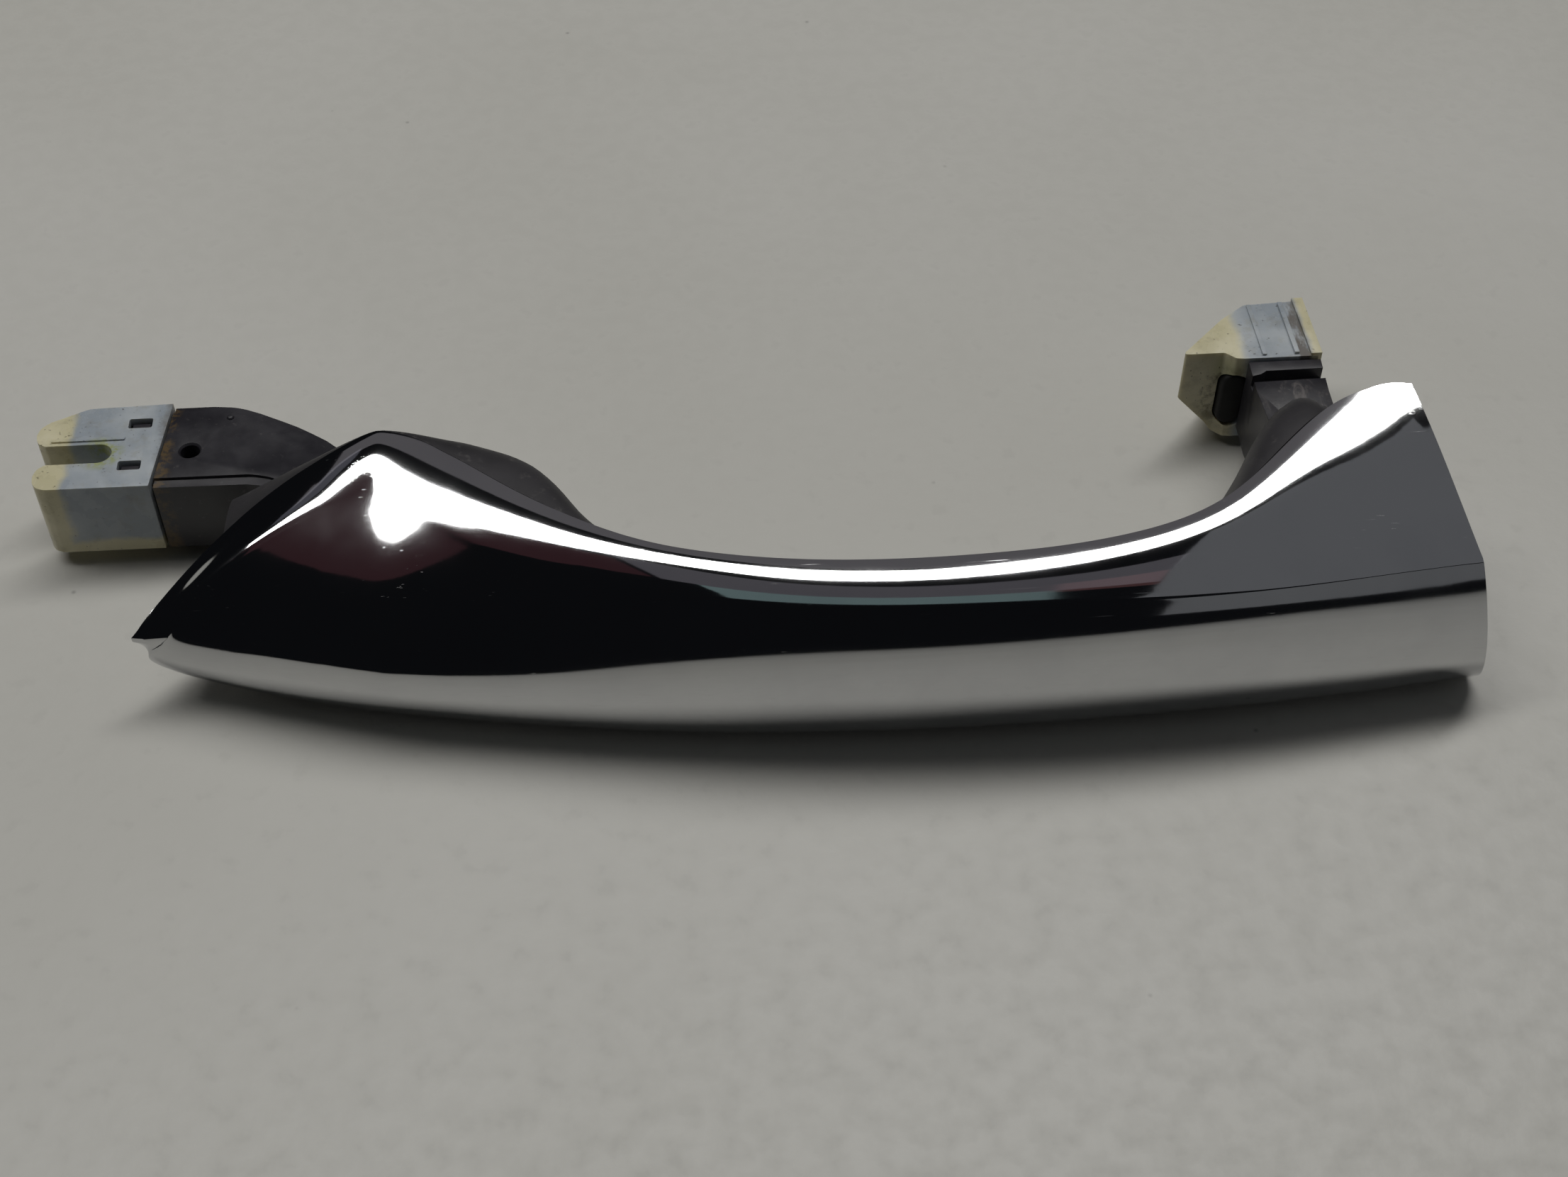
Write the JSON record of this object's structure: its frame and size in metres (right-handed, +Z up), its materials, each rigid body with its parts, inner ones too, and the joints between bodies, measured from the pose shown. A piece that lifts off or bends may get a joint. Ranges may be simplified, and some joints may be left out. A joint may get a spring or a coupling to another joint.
{
  "type": "car door handle grip",
  "caption": "Chrome-faced pull grip of a car door handle with a black finger side, a forked pivot arm and a hooked latch arm on its back.",
  "frame": {"origin": "middle of the plan outline, on the surface that the grip lies on", "axes": "+X along the grip from the pivot end to the hook end, +Y from the chromed outer face towards the door, +Z up, across the height of the grip"},
  "size_m": [0.2294, 0.082, 0.0368],
  "materials": {
    "chrome_plate": "bright chrome plating on moulded plastic, fine wiping scratches",
    "black_cover": "fine-grained matte black plastic",
    "core_plastic": "glass-filled black plastic, hidden",
    "black_arm": "satin black glass-filled plastic with dirt and grease",
    "milky_sleeve": "translucent milky acetal, yellowed and soiled",
    "bumper_rubber": "black rubber",
    "zinc_screw": "zinc-plated self-tapping screw",
    "black_screw": "black-coated self-tapping screw"
  },
  "bodies": {
    "root": {"outer_shell": "chrome_plate", "inner_cover": "black_cover", "grip_beam": "core_plastic", "pivot_arm": "black_arm", "pivot_sleeve": "milky_sleeve", "hook_arm": "black_arm", "hook_sleeve": "milky_sleeve", "hook_bumper": "bumper_rubber", "pivot_arm_screw_1": "zinc_screw", "pivot_arm_screw_2": "zinc_screw", "hook_arm_screw_1": "zinc_screw", "hook_arm_screw_2": "zinc_screw", "shell_screw_1": "zinc_screw", "shell_screw_2": "zinc_screw", "shell_screw_3": "zinc_screw", "cover_screw_1": "black_screw", "cover_screw_2": "black_screw"}
  },
  "joints": []
}
